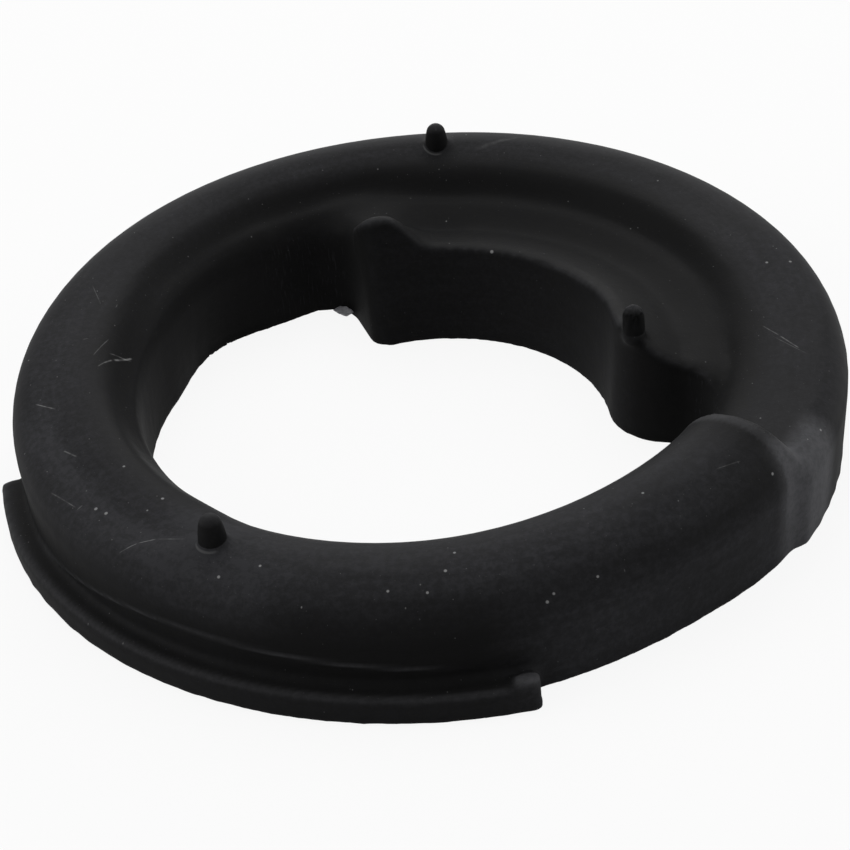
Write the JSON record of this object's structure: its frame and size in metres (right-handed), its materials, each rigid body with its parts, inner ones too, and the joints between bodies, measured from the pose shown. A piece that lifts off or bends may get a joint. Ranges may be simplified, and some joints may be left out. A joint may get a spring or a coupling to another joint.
{
  "type": "coil spring insulator",
  "caption": "Round rubber pad that seats a coil spring's end: a sloping track with a step, a wide centring lug in the bore and a thin edge flange.",
  "frame": {"origin": "on the ring's axis, in the plane of the flat base", "axes": "+Z along the ring's axis, up from the flat base towards the coil spring; the step is at the front right, at about -38 degrees from +X"},
  "size_m": [0.1494, 0.1489, 0.031],
  "materials": {
    "rubber": "satin moulded charcoal black rubber with light dust and scuffs"
  },
  "bodies": {
    "root": {"spring_insulator": "rubber"}
  },
  "joints": []
}
